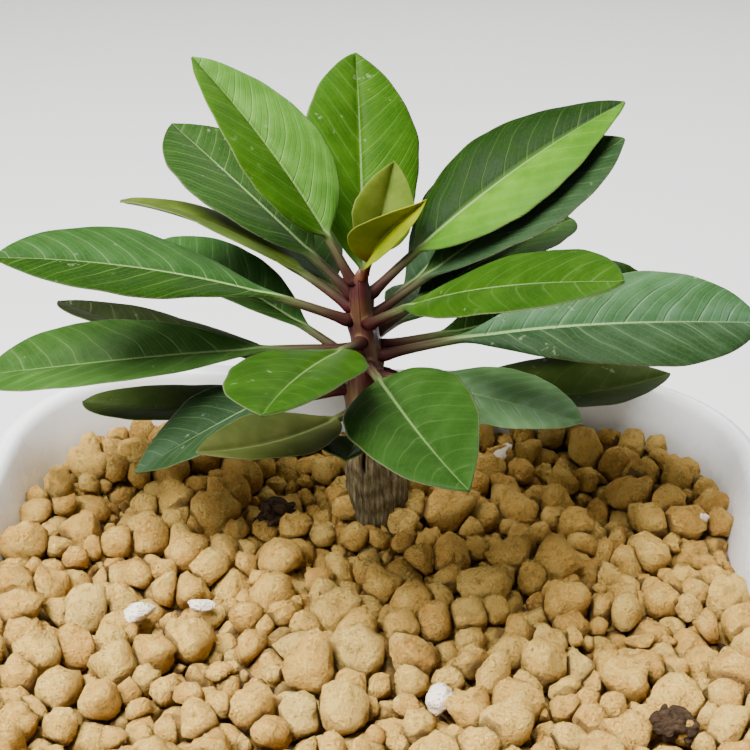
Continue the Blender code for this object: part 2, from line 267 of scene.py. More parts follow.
def square_rings(profile, steps=14, flats=4):
    """Rings of a rounded square, one for each (half, corner, z) of the profile.

    A ring is four quarter circles of radius corner about the points (+-(half - corner),
    +-(half - corner)), joined by straight runs with a few points on each.
    """
    half, corner, z = np.array(profile, float).T[:, :, None]
    angles = np.radians(np.linspace(0.0, 90.0, steps + 1))
    arcs = []
    for quarter, (sx, sy) in enumerate(((1, 1), (-1, 1), (-1, -1), (1, -1))):
        turn = angles + quarter * math.pi / 2
        arcs.append(np.stack([sx * (half - corner) + corner * np.cos(turn),
                              sy * (half - corner) + corner * np.sin(turn)], axis=2))
    share = np.arange(1, flats)[:, None] / flats
    runs = []
    for arc, after in zip(arcs, arcs[1:] + arcs[:1]):
        runs += [arc, arc[:, -1:] * (1 - share) + after[:, :1] * share]
    flat = np.concatenate(runs, axis=1)
    height = np.broadcast_to(z[:, :, None], (*flat.shape[:2], 1))
    return np.concatenate([flat, height], axis=2)


def ring_faces(rings):
    """Quads between neighbouring closed rings, and one cap at each end."""
    rows, columns = rings.shape[:2]
    i, j = np.meshgrid(np.arange(rows - 1), np.arange(columns), indexing="ij")
    k = (j + 1) % columns
    quads = np.stack([i * columns + j, i * columns + k, (i + 1) * columns + k,
                      (i + 1) * columns + j], axis=2).reshape(-1, 4).tolist()
    last = (rows - 1) * columns
    return quads + [list(range(columns))[::-1], list(range(last, last + columns))]


def pot_profile():
    """Up the outside, round the lip as an ellipse, down the inside and in over the floor."""
    under_lip = POT_HEIGHT - LIP_DEPTH
    body_half, body_corner = inner_wall(under_lip)
    outside = (body_half + WALL, body_corner + WALL)
    rows = [(BASE_PAD_HALF, BASE_PAD_CORNER, 0.0)]
    for angle in np.radians(np.linspace(-90.0, 0.0, 7)):
        out = BASE_EDGE * (math.cos(angle) - 1.0)
        rows.append((BASE_HALF + out, BASE_CORNER + out, BASE_EDGE * (1 + math.sin(angle))))
    for share in (0.25, 0.5, 0.75, 0.96):
        half = BASE_HALF + share * (outside[0] - BASE_HALF)
        corner = BASE_CORNER + share * (outside[1] - BASE_CORNER)
        rows.append((half, corner, BASE_EDGE + share * (under_lip - BASE_EDGE)))
    rows.append((outside[0] + 0.0001, outside[1], under_lip + 0.0002))
    for angle in np.radians(np.linspace(-62.0, 158.0, 21)):
        out = LIP_WIDTH / 2 * (math.cos(angle) - 1.0)
        z = POT_HEIGHT - LIP_DEPTH / 2 + LIP_DEPTH / 2 * math.sin(angle)
        rows.append((RIM_HALF + out, RIM_CORNER + out, z))
    for share in (1.0, 0.97, 0.7, 0.4, 0.08):
        z = POT_FLOOR + share * (under_lip - POT_FLOOR)
        rows.append((*inner_wall(z), z))
    half, corner = inner_wall(POT_FLOOR)
    rows.append((half - INNER_EDGE, corner - INNER_EDGE, POT_FLOOR))
    return rows


def cutter(name, build, **shape):
    """A loose object whose mesh is one built shape."""
    work = bmesh.new()
    build(work, **shape)
    mesh = bpy.data.meshes.new(name)
    work.to_mesh(mesh)
    work.free()
    return bpy.data.objects.new(name, mesh)


def drain_cutters():
    """Two long grooves across the base and a round hole at each of four places in them."""
    cutters = []
    for sx in (-1, 1):
        place = Matrix.Translation((sx * DRAIN_OFFSET, 0.0, 0.0))
        size = Matrix.Diagonal((GROOVE_WIDTH, 3 * BASE_HALF, 2 * GROOVE_DEPTH, 1.0))
        cutters.append(cutter("groove", bmesh.ops.create_cube, size=1.0, matrix=place @ size))
        for sy in (-1, 1):
            spot = Matrix.Translation((sx * DRAIN_OFFSET, sy * DRAIN_OFFSET, 0.0))
            cutters.append(cutter(
                "hole", bmesh.ops.create_cone, cap_ends=True, segments=40, depth=4 * POT_FLOOR,
                radius1=DRAIN_RADIUS, radius2=DRAIN_RADIUS, matrix=spot))
    return cutters


def carve(piece, cutters):
    """Subtract the cutters, keep the result as the piece's mesh and remove the cutters."""
    for tool in cutters:
        put_in_scene(tool)
        modifier = piece.modifiers.new(tool.name, "BOOLEAN")
        modifier.operation = "DIFFERENCE"
        modifier.object = tool
    graph = bpy.context.evaluated_depsgraph_get()
    carved = bpy.data.meshes.new_from_object(piece.evaluated_get(graph))
    piece.modifiers.clear()
    piece.data = carved
    for tool in cutters:
        bpy.data.objects.remove(tool, do_unlink=True)
    carved.shade_smooth()
    carved.set_sharp_from_angle(angle=math.radians(35.0))


plastic = Paint("white_pot_plastic")
at = plastic.place()
grime = plastic.noise(at, 45.0, detail=5.0)
scuffs = plastic.noise(at, 120.0, detail=4.0)
plastic.set(
    Base_Color=plastic.mix(plastic.span(grime, 0.35, 0.75),
                           (0.86, 0.87, 0.88), (0.79, 0.79, 0.77)),
    Roughness=plastic.span(scuffs, 0.3, 0.75, 0.25, 0.32),
    Normal=plastic.bump(plastic.noise(at, 90.0, detail=2.0), 0.0003, 0.35),
    Coat_Weight=0.15, Coat_Roughness=0.12)
pot_rings = square_rings(pot_profile())
pot = make_piece("pot_shell", pot_rings, ring_faces(pot_rings), plastic.material,
                 node="pot")
carve(pot, drain_cutters())


# Granules.
# The pot is filled with hard tan clay granules from about 2 to 9 mm. They are poured in
# loose and settle against each other, the pot's wall and the caudex.
MM = 0.001
STEM_X = 0.0012
STEM_Y = 0.028
BED_DROP = 0.0046           # of the plain bed's top below the soil's level

# Pouring: least and greatest radius in mm and number of the balls, and how they settle.
GRAIN_SIZES = ((2.6, 3.4, 330), (2.0, 2.6, 520), (1.4, 2.0, 520), (0.8, 1.3, 420))
POUR_DEPTH = 0.0050
SETTLING_STEPS = 120
PAIRING_STEPS = 6           # steps between two lists of near pairs
PAIRING_REACH = 0.001
OVERLAP = 0.86              # share of their radii at which two balls touch
PUSH = 0.42
SINKING = 0.00022
HEAP = 0.0014
MOUND = 0.0040              # the bed rises by this much round the caudex
MOUND_WIDTH = 0.012
FINE_WITHIN = 0.013         # balls poured this near the caudex are cut to FINE_RADIUS
FINE_RADIUS = 0.0020
WALL_CLEARANCE = 0.0004
CAUDEX_CLEARANCE = 0.0041   # from its middle, plus CAUDEX_SHARE of the ball's radius
CAUDEX_SHARE = 0.72

# Shape: how the balls swell into pebbles and are pressed flat where they meet.
SWELL = 1.37
SQUASH = (0.76, 1.18)
LEAST_FACING = 0.05         # cosine under which a flat side cuts no deeper
FLAT_POWER = 9.0
KNOB_RISE = (-0.35, 1.0)
KNOB_WIDTH = 0.16
WAVE_COUNTS = np.array([1.8, 2.6, 3.6, 4.6, 5.6, 6.6])
WAVE_HEIGHTS = np.array([1.0, 1.0, 0.9, 0.8, 0.7, 0.6])
NEIGHBOURS = 12
PRESSED_GAP = 0.00005
PRESS_POWER = 9.0
DEEPEST_PRESS = 0.30        # share of the radius that is always left
RIPPLE_HEIGHT = 0.022
RIPPLES = np.random.default_rng(7).normal(size=(3, 6)) * 1500.0
LARGE_RADIUS = 0.00235
MIDDLING_RADIUS = 0.00165
SEEN_DEPTH = 0.0035
UNDER_DEPTH = 0.0068
rng = np.random.default_rng(23)


def hold_in_pot(balls, radii):
    """Move balls back inside the pot's rounded square, and away from the caudex."""
    half, corner = inner_wall(balls[:, 2])
    half = half - radii - WALL_CLEARANCE
    corner = np.minimum(corner, half)
    middle = np.clip(balls[:, :2], (corner - half)[:, None], (half - corner)[:, None])
    out = balls[:, :2] - middle
    reach = np.maximum(norm(out, axis=1), 1e-9)
    balls[:, :2] = middle + out * np.minimum(1.0, corner / reach)[:, None]
    away = balls[:, :2] - (STEM_X, STEM_Y)
    reach = np.maximum(norm(away, axis=1), 1e-9)
    clear = CAUDEX_CLEARANCE + CAUDEX_SHARE * radii
    balls[:, :2] += away * np.clip(clear / reach - 1.0, 0.0, None)[:, None]


def pour_grains():
    """Seeded balls that settle: in each step those that overlap part, and all sink a little.

    The bed rises round the caudex as the bell curve of the distance from it.
    """
    radii = np.concatenate([rng.uniform(low, high, count) for low, high, count in GRAIN_SIZES])
    radii = rng.permutation(radii) * MM
    half = inner_wall(SOIL_Z)[0]
    balls = rng.uniform(-half, half, (len(radii), 3))
    balls[:, 2] = rng.uniform(SOIL_Z - POUR_DEPTH, SOIL_Z + 0.003, len(radii))
    away = np.hypot(balls[:, 0] - STEM_X, balls[:, 1] - STEM_Y)
    radii = np.where(away < FINE_WITHIN, np.minimum(radii, FINE_RADIUS), radii)
    for step in range(SETTLING_STEPS):
        if step % PAIRING_STEPS == 0:
            square = (balls ** 2).sum(axis=1)
            gap = square[:, None] + square[None, :] - 2.0 * balls @ balls.T
            near = (radii[:, None] + radii + PAIRING_REACH) ** 2
            first, second = np.nonzero(np.triu(gap < near, 1))
            touch = OVERLAP * (radii[first] + radii[second])
        apart = balls[first] - balls[second]
        gap = norm(apart, axis=1) + 1e-9
        push = apart * (np.clip(touch - gap, 0.0, None) / gap * PUSH)[:, None]
        np.add.at(balls, first, push)
        np.add.at(balls, second, -push)
        balls[:, 2] -= SINKING * (1.0 - step / SETTLING_STEPS)
        away = np.hypot(balls[:, 0] - STEM_X, balls[:, 1] - STEM_Y)
        level = SOIL_Z + MOUND * np.exp(-(away / MOUND_WIDTH) ** 2)
        balls[:, 2] = np.clip(balls[:, 2], level - POUR_DEPTH, level + HEAP - 0.75 * radii)
        hold_in_pot(balls, radii)
    return balls, radii


def cube_sphere(cuts):
    """Unit directions and quads of a cube with cuts faces along each edge, made round."""
    work = bmesh.new()
    bmesh.ops.create_cube(work, size=2.0)
    if cuts > 1:
        bmesh.ops.subdivide_edges(work, edges=work.edges[:], cuts=cuts - 1, use_grid_fill=True)
    points = np.array([v.co[:] for v in work.verts])
    points = np.tan(points * math.pi / 4)
    faces = np.array([[v.index for v in face.verts] for face in work.faces])
    work.free()
    return points / norm(points, axis=1, keepdims=True), faces


def random_turns(count, draw):
    """Rotation matrices from random unit quaternions."""
    q = draw.normal(size=(count, 4))
    w, x, y, z = (q / norm(q, axis=1, keepdims=True)).T
    return np.stack([
        np.stack([1 - 2 * (y * y + z * z), 2 * (x * y - z * w), 2 * (x * z + y * w)], 1),
        np.stack([2 * (x * y + z * w), 1 - 2 * (x * x + z * z), 2 * (y * z - x * w)], 1),
        np.stack([2 * (x * z - y * w), 2 * (y * z + x * w), 1 - 2 * (x * x + y * y)], 1)], 1)


def lumps(centres, sizes, cuts, draw, flats=7, roughness=0.076, flat_depth=(0.64, 1.0),
          knobs=7, knob_height=0.26):
    """Many pebbles in one mesh.

    Each is a unit sphere whose radius is cut back by a few random soft flat sides, raised by
    rounded knobs about random directions, and rippled by six random waves. It is stretched
    to its three half sizes and turned.
    """
    count = len(centres)
    directions, faces = cube_sphere(cuts)
    sides = draw.normal(size=(count, flats, 3))
    sides /= norm(sides, axis=2, keepdims=True)
    depth = draw.uniform(*flat_depth, size=(count, 1, flats))
    reach = np.maximum(np.einsum("md,nfd->nmf", directions, sides), LEAST_FACING)
    radius = ((depth / reach) ** -FLAT_POWER).sum(axis=2) + 1.0
    radius = radius ** (-1.0 / FLAT_POWER)
    tops = draw.normal(size=(count, knobs, 3))
    tops /= norm(tops, axis=2, keepdims=True)
    rise = draw.uniform(*KNOB_RISE, size=(count, 1, knobs)) * knob_height
    near = np.exp((np.einsum("md,nkd->nmk", directions, tops) - 1.0) / KNOB_WIDTH)
    radius = radius + (near * rise).sum(axis=2)
    waves = draw.normal(size=(count, 6, 3)) * WAVE_COUNTS[:, None]
    phases = draw.uniform(0, 2 * math.pi, size=(count, 1, 6))
    heights = WAVE_HEIGHTS * roughness
    ripple = np.cos(np.einsum("md,nwd->nmw", directions, waves) + phases) @ heights
    radius = radius * (1.0 + ripple)
    points = directions[None] * radius[:, :, None] * sizes[:, None, :]
    points = np.einsum("nij,nmj->nmi", random_turns(count, draw), points)
    verts = (points + centres[:, None, :]).reshape(-1, 3)
    quads = (faces[None] + (np.arange(count) * len(directions))[:, None, None]).reshape(-1, 4)
    return verts, quads.tolist()


def press_together(points, centres, sizes, others, other_sizes):
    """Cut pebbles back where their nearest neighbours press on them.

    The cut is a soft one at the plane in which the two balls would cross. Also gives how
    near each point is to such a plane, 1 being on it.
    """
    toward = others[None] - centres[:, None]
    apart = norm(toward, axis=2)
    apart[apart < 1e-7] = 1.0
    nearest = np.argsort(apart - other_sizes, axis=1)[:, :NEIGHBOURS]
    gap = np.take_along_axis(apart, nearest, axis=1)
    normal = np.take_along_axis(toward, nearest[:, :, None], axis=1) / gap[:, :, None]
    plane = (gap ** 2 + sizes[:, None] ** 2 - other_sizes[nearest] ** 2) / (2 * gap)
    plane = np.maximum(plane - PRESSED_GAP, DEEPEST_PRESS * sizes[:, None])[:, None, :]
    out = points - centres[:, None]
    reach = norm(out, axis=2)
    facing = np.einsum("nmd,nkd->nmk", out / reach[:, :, None], normal)
    facing = np.maximum(facing, LEAST_FACING)
    crowd = ((plane / facing / reach[:, :, None]) ** -PRESS_POWER).sum(axis=2)
    out *= ((1.0 + crowd) ** (-1.0 / PRESS_POWER))[:, :, None]
    closeness = (np.einsum("nmd,nkd->nmk", out, normal) / plane).max(axis=2)
    ripple = np.sin((centres[:, None] + out) @ RIPPLES).sum(axis=2)
    return centres[:, None] + out * (1.0 + RIPPLE_HEIGHT * ripple)[:, :, None], closeness


def point_layers(piece, layers):
    """Point attributes that a material reads, one number for each vertex."""
    for name, values in layers.items():
        layer = piece.data.attributes.new(name, "FLOAT", "POINT")
        layer.data.foreach_set("value", values.ravel().astype(np.float32))


clay = Paint("tan_clay_granule")
at = clay.place()
tint = clay.attribute("tint")
body = clay.ramp(tint, ((0.0, (0.72, 0.375, 0.078)), (0.25, (0.88, 0.490, 0.105)),
                        (0.60, (0.97, 0.585, 0.132)), (0.88, (1.0, 0.645, 0.165)),
                        (1.0, (1.0, 0.690, 0.205))))
blotch = clay.noise(at, 330.0, detail=5.0, roughness=0.65)
crumbs = clay.noise(at, 900.0, detail=4.0, roughness=0.70)
grit = clay.noise(at, 2300.0, detail=4.0, roughness=0.75)
pits = clay.cells(at, 900.0)
dusty = clay.mix(clay.span(blotch, 0.48, 0.68, 0.0, 0.55), body, (1.0, 0.74, 0.22))
stained = clay.mix(clay.span(blotch, 0.48, 0.32, 0.0, 0.55), dusty, (0.46, 0.235, 0.055))
speckled = clay.mix(clay.span(grit, 0.52, 0.70, 0.0, 0.65), stained, (1.0, 0.79, 0.28))
darkened = clay.mix(clay.span(crumbs, 0.46, 0.28, 0.0, 0.45), speckled, (0.30, 0.145, 0.038))
darkened = clay.mix(clay.span(grit, 0.45, 0.28, 0.0, 0.40), darkened, (0.28, 0.135, 0.038))
darkened = clay.mix(clay.span(pits, 0.12, 0.03, 0.0, 0.35), darkened, (0.24, 0.115, 0.035))
# Painted shade: each pebble turns near-black brown where it presses on its neighbours, for the
# shadow between touching granules.
painted_contact_shade = clay.span(clay.attribute("painted_contact_shade"), 0.88, 1.0, 0.0, 0.75)
darkened = clay.mix(painted_contact_shade, darkened, (0.085, 0.040, 0.028))
coarse = clay.bump(blotch, 0.0034, 0.90)
crumbly = clay.bump(crumbs, 0.0037, 0.95, before=coarse)
fine = clay.bump(grit, 0.0011, 0.90, before=crumbly)
clay.set(Base_Color=darkened, Roughness=0.95, Specular_IOR_Level=0.15,
         Normal=clay.bump(clay.span(pits, 0.0, 0.30), 0.00035, 0.5, before=fine))


def grain_piece(name, chosen, cuts):
    """The chosen balls as one piece of pebbles, a little larger than the balls."""
    count = int(chosen.sum())
    squash = rng.uniform(*SQUASH, size=(count, 3))
    sizes = radii[chosen, None] * squash / squash.mean(axis=1, keepdims=True) * SWELL
    verts, quads = lumps(balls[chosen], sizes, cuts, rng)
    verts, painted_contact_shade = press_together(verts.reshape(count, -1, 3), balls[chosen],
                                    radii[chosen] * SWELL, balls, radii * SWELL)
    piece = make_piece(name, verts, quads, clay.material, node="substrate")
    tints = np.repeat(rng.beta(2.4, 2.4, size=count), verts.shape[1])
    point_layers(piece, {"tint": tints, "painted_contact_shade": painted_contact_shade})


balls, radii = pour_grains()
depth = SOIL_Z - balls[:, 2] - radii
seen, large, small = depth < SEEN_DEPTH, radii > LARGE_RADIUS, radii <= MIDDLING_RADIUS
grain_piece("granules_large", seen & large, 4)
grain_piece("granules_middling", seen & ~large & ~small, 3)
grain_piece("granules_small", seen & small, 3)
grain_piece("granules_under", ~seen & (depth < UNDER_DEPTH), 2)


# Bed under the granules.
# The filling goes on down to the pot's floor. Only its dark top shows in the deepest gaps,
# and its flat underside in the drainage holes. Its near-black brown is painted shade, for
# the shadow deep down between the granules.
GAP = 0.0003
bed_paint = Paint("granule_bed_painted_shade")
at = bed_paint.place()
crumbs = bed_paint.cells(at, 260.0)
bed_paint.set(Base_Color=bed_paint.mix(bed_paint.span(crumbs, 0.1, 0.5),
                             (0.24, 0.13, 0.05), (0.10, 0.05, 0.02)),
         Roughness=0.95, Normal=bed_paint.bump(crumbs, 0.0012, 0.9))
bed_rows = [(*inner_wall(z), z) for z in (POT_FLOOR + GAP, SOIL_Z - BED_DROP)]
bed_rings = square_rings([(half - GAP, corner, z) for half, corner, z in bed_rows])
make_piece("granule_bed", bed_rings, ring_faces(bed_rings), bed_paint.material,
           node="substrate")


# Pumice and bark chips.
# A few white porous pumice stones and dark bark scraps from the growing mix lie half sunk
# among the granules.

# x, y and radius in mm, stretch, and turn in degrees.
PUMICE_CHIPS = (
    (-34.0, -1.0, 2.0, 1.35, 10), (-25.0, 1.0, 1.5, 1.4, 35), (21.0, 46.0, 2.1, 1.45, 80),
    (11.0, -18.0, 2.1, 1.3, 60), (52.0, 28.0, 2.0, 1.5, -20),
)
BARK_CHIPS = ((-16.5, 26.0, 3.2, 1.2, 20), (42.0, -22.0, 3.0, 1.3, -30))

pumice = Paint("white_pumice")
at = pumice.place()
pores = pumice.cells(at, 2100.0)
patches = pumice.noise(at, 520.0, detail=5.0)
pumice.set(
    Base_Color=pumice.mix(pumice.span(pores, 0.22, 0.05, 0.0, 0.6), pumice.mix(
        pumice.span(patches, 0.4, 0.7), (0.76, 0.66, 0.53), (0.60, 0.47, 0.33)),
        (0.50, 0.42, 0.34)),
    Roughness=0.92, Normal=pumice.bump(pumice.span(pores, 0.0, 0.4), 0.0005, 0.8))

bark = Paint("dark_bark_scrap")
at = bark.place()
fibres = bark.noise(bark.stretched(at, (1.0, 5.0, 1.0)), 500.0, detail=6.0, roughness=0.7)
bark.set(Base_Color=bark.mix(bark.span(fibres, 0.3, 0.75),
                             (0.018, 0.011, 0.006), (0.12, 0.070, 0.036)),
         Roughness=0.9, Specular_IOR_Level=0.15, Normal=bark.bump(fibres, 0.0012, 1.0))

# A chip is made of angular fragments: one for a pumice stone, many small ones for bark.
# Kind, places, finish, slot, fragments, their share of the chip's size, and cuts in each.
CHIP_KINDS = (("pumice_chip", PUMICE_CHIPS, pumice, "pumice", 1, 1.0, 10),
              ("bark_chip", BARK_CHIPS, bark, "bark_chip", 34, 0.34, 4))
for kind, rows, paint, slot_name, count, share, cuts in CHIP_KINDS:
    for number, (x, y, radius, stretch, turn) in enumerate(rows, start=1):
        half_sizes = np.array([radius * stretch, radius, 0.8 * radius]) * MM
        spots = rng.normal(size=(count, 3))
        spots *= rng.uniform(0.2, 1.0, (count, 1)) / norm(spots, axis=1)[:, None]
        sizes = half_sizes.mean() * share * rng.uniform(0.5, 1.3, (count, 3))
        if count == 1:
            spots, sizes = np.zeros((1, 3)), half_sizes[None] * 1.03
        verts, quads = lumps(spots * half_sizes * (1.0 - share), sizes, cuts, rng, flats=9,
                             roughness=0.05, flat_depth=(0.60, 0.95))
        verts = verts * half_sizes / np.abs(verts).max(axis=0) * 1.02
        c, s = math.cos(math.radians(turn)), math.sin(math.radians(turn))
        verts = verts @ np.array([[c, s, 0], [-s, c, 0], [0, 0, 1.0]])
        verts += (x * MM, y * MM, SOIL_Z + 0.2 * radius * MM)
        make_piece(f"{kind}_{number}_stone", verts, quads, paint.material,
                   node=f"{kind}_{number}")


# Caudex and stem.
# One woody piece: a swollen grey-brown base with fissured fibrous bark, narrowing into a
# knobbly wine-brown stem with a cushion under each leaf, and a smooth red-brown tip.

# In mm: height above the soil, how far the centre is off the middle plane, and radius.
STEM_RINGS = (
    (-24.0, 1.2, 3.0), (-12.0, 1.2, 3.8), (0.0, 1.2, 4.3), (5.0, 0.6, 4.8), (10.0, 0.1, 4.7),
    (15.0, -0.5, 4.0), (20.0, -1.2, 3.2), (25.0, -1.4, 2.7), (31.0, -1.3, 2.2),
    (36.0, -2.0, 1.75), (40.0, -2.1, 1.35), (42.0, -2.2, 1.0), (44.0, -2.2, 0.6),
)

# Fibres: waves round the stem, their height in mm, and their drift for each mm of height.
FIBRES = ((2, 0.26, 0.05), (3, 0.20, 0.09), (5, 0.14, 0.13), (9, 0.09, 0.20),
          (14, 0.09, 0.33), (23, 0.08, 0.45), (37, 0.06, 0.6))
CRACK_TURN = math.radians(252.0)
CRACK_HEIGHT = 12.0
CAUDEX_RADIUS = 4.4

# A leaf's node in mm above the soil, heading, turn, rise and bend in degrees, length and
# width in mm, roll and fold in degrees, and the powers of its outline at base and tip.
LEAVES = {
    "leaf_01": (21.5, 246, -34, 12, 4, 37.0, 12.0, -8, 13, 0.75, 0.75),
    "leaf_02": (18.0, 263, 4, 11, 12, 19.0, 11.0, 3, 19, 1.0, 0.75),
    "leaf_03": (23.0, 170, -5, -22, 22, 47.5, 15.0, 3, 11, 1.0, 0.75),
    "leaf_04": (26.0, 8, 19, -21, 29, 49.5, 17.0, 2, 19, 0.95, 0.8),
    "leaf_05": (26.0, 167, -21, 2, 1, 54.0, 17.0, 16, 11, 0.95, 0.8),
    "leaf_06": (26.5, -38, 14, 14, -15, 36.0, 15.5, 6, 5, 0.95, 0.85),
    "leaf_07": (28.5, 283, 15, 17, -17, 48.5, 18.5, 19, 20, 0.9, 0.8),
    "leaf_08": (27.5, 140, -8, 13, -15, 50.5, 14.5, -4, 16, 1.0, 0.75),
    "leaf_09": (28.5, 204, -12, -12, -19, 37.5, 16.5, 0, 11, 0.9, 0.8),
    "leaf_10": (29.5, -6, 17, 20, -26, 58.5, 17.0, 34, 9, 1.2, 0.7),
    "leaf_11": (30.5, 27, 16, -3, 9, 51.0, 18.0, 10, 16, 1.05, 0.7),
    "leaf_12": (30.5, 190, -35, 6, -25, 61.0, 17.0, -14, 15, 1.15, 0.7),
    "leaf_13": (32.5, 255, 10, 20, -8, 48.5, 18.0, 3, 7, 0.75, 0.65),
    "leaf_14": (31.0, 71, 6, -9, -16, 49.5, 17.0, 0, 14, 1.0, 0.7),
    "leaf_15": (32.5, 48, -5, 12, -11, 48.0, 16.5, 1, 14, 1.0, 0.7),
    "leaf_16": (33.0, 94, 3, 46, -6, 49.0, 20.0, 17, 7, 0.85, 0.8),
    "leaf_17": (34.5, 56, 24, 11, 7, 45.5, 17.0, -3, 14, 1.1, 0.7),
    "leaf_18": (35.5, 192, 4, 26, -20, 54.0, 17.5, -10, 6, 1.2, 0.75),
    "leaf_19": (35.5, 116, -3, 8, -27, 47.5, 17.0, 0, 14, 1.0, 0.7),
    "leaf_20": (36.0, 20, -3, 33, -3, 47.0, 17.0, 15, 11, 1.0, 0.75),
    "leaf_21": (35.5, -52, 15, 37, -21, 54.5, 16.5, 17, 4, 1.0, 0.75),
    "leaf_22": (37.0, 150, 10, 26, -28, 45.0, 16.0, 19, 7, 1.0, 0.7),
    "leaf_23": (39.0, 137, -2, 24, -7, 47.5, 18.5, -2, 5, 1.0, 0.8),
    "leaf_24": (39.5, 27, -8, 39, -16, 49.5, 18.5, 15, 7, 0.7, 0.85),
    "leaf_25": (41.5, 158, -1, 61, -21, 41.5, 18.0, -11, 13, 0.65, 0.9),
    "young_leaf_1": (42.5, 50, 3, 62, 13, 18.0, 10.5, 38, 28, 0.7, 0.9),
    "young_leaf_2": (42.5, -54, 59, 69, -30, 19.5, 10.5, 88, 56, 0.6, 1.0),
}


def stem_at(height):
    """Centre and radius in metres at heights in mm, in a straight run from ring to ring."""
    levels, offsets, radii = np.array(STEM_RINGS).T
    x = np.interp(height, levels, offsets) * MM
    y = np.full_like(x, STEM_Y)
    return np.stack([x, y, SOIL_Z + height * MM], axis=-1), np.interp(height, levels, radii) * MM


def stem_surface(rows=280, columns=144):
    """Rings round the wavering centre line, with how near each point is to a leaf cushion.

    The radius is the ring table's, plus upright fibres that fade out above the caudex (a
    sum of waves round the stem whose phase drifts with height), plus a rounded cushion that
    runs down the stem below each leaf's node, less a narrow crack in the front.
    """
    height = np.concatenate([np.linspace(-24.0, 0.0, 20)[:-1], np.linspace(0.0, 44.0, rows - 19)])
    turn = np.linspace(0, 2 * math.pi, columns, endpoint=False)
    centre, radius = stem_at(height)
    h, a = height[:, None], turn[None, :]
    woody = 1.0 / (1.0 + np.exp((h - 20.0) / 2.5))
    shape = np.zeros((rows, columns))
    draw = np.random.default_rng(5)
    for waves, size, climb in FIBRES:
        drift = draw.uniform(0, 6.28) + climb * h + 0.8 * np.sin(0.21 * h * draw.uniform(0.5, 1.5))
        shape += size * np.cos(waves * a + drift) * (0.20 + 0.80 * woody)
    shape += 0.10 * np.sin(1.9 * h + 2.0 * np.cos(a * 3)) * woody
    cushion_tan_and_highlight, wine_and_shade = np.zeros_like(shape), np.zeros_like(shape)
    for node, heading, *_ in LEAVES.values():
        away = np.angle(np.exp(1j * (a - math.radians(heading))))
        across = away * np.interp(node, height, radius) / MM
        below = np.where(h < node, 2.6, 0.8)
        shape += 0.60 * np.exp(-(across / 0.85) ** 2 - ((h - node) / below) ** 2)
        cushion_tan_and_highlight += np.exp(-(across / 0.75) ** 2 - ((h - node - 0.7) / 0.75) ** 2)
        wine_and_shade += np.exp(-(across / 1.6) ** 2 - ((h - node + 1.1) / 1.9) ** 2)
    across = np.angle(np.exp(1j * (a - CRACK_TURN - 0.05 * np.sin(h)))) * CAUDEX_RADIUS
    depth = np.exp(-((h - CRACK_HEIGHT) / 2.4) ** 4)
    shape -= 1.15 * depth * np.exp(-(across / 0.28) ** 2)
    full = radius[:, None] + shape * MM * np.clip((44.5 - h) / 5.0, 0.15, 1.0)
    full *= np.sqrt(np.clip(1.0 - (np.clip(h - 42.8, 0.0, None) / 1.25) ** 2, 0.01, 1.0))
    rings = centre[:, None, :].repeat(columns, axis=1)
    rings[:, :, 0] += full * np.cos(a)
    rings[:, :, 1] += full * np.sin(a)
    crack = depth * np.exp(-(across / 0.34) ** 2)
    cushion_tan_and_highlight *= np.clip((41.0 - h) / 2.0, 0, 1)
    return rings, {"cushion_tan_and_highlight": np.clip(cushion_tan_and_highlight, 0, 1), "wine_and_shade": np.clip(wine_and_shade, 0, 1), "crack": crack}


wood = Paint("caudex_bark_and_stem")
at = wood.place()
rise = wood.split(at)[2]
level = wood.span(rise, SOIL_Z, SOIL_Z + 0.044, smooth=False)
strands = wood.noise(wood.stretched(at, (1.0, 1.0, 0.055)), 1700.0, detail=6.0, roughness=0.7)
wander = wood.noise(wood.stretched(at, (1.0, 1.0, 0.35)), 260.0, detail=4.0)
flecks = wood.cells(wood.stretched(at, (1.0, 1.0, 0.3)), 700.0)
bark_colour = wood.ramp(strands, ((0.30, (0.026, 0.019, 0.009)), (0.43, (0.085, 0.067, 0.032)),
                                  (0.56, (0.175, 0.138, 0.068)), (0.68, (0.37, 0.315, 0.180))))
bark_colour = wood.mix(wood.span(wander, 0.55, 0.75, 0.0, 0.4), bark_colour, (0.27, 0.24, 0.16))
bark_colour = wood.mix(wood.span(flecks, 0.14, 0.03, 0.0, 0.6), bark_colour, (0.03, 0.02, 0.012))
bark_colour = wood.mix(wood.span(wood.attribute("crack"), 0.25, 0.75), bark_colour,
                       (0.012, 0.007, 0.004))
# Painted shade: the young stem runs from near black low down, where the leaves shade it, up to
# red-brown near the tip.
young_colour = wood.ramp(level, ((0.38, (0.016, 0.009, 0.006)), (0.62, (0.026, 0.013, 0.007)),
                                 (0.80, (0.055, 0.026, 0.009)), (0.92, (0.090, 0.032, 0.011)),
                                 (1.0, (0.072, 0.019, 0.007))))
young_colour = wood.mix(wood.span(wander, 0.46, 0.64, 0.0, 0.55), young_colour,
                        (0.110, 0.070, 0.024))
# Wine red under each leaf's node: partly its own colour, partly painted shade below the cushion.
young_colour = wood.mix(wood.times(wood.attribute("wine_and_shade"), 0.92),
                        young_colour, (0.040, 0.006, 0.008))
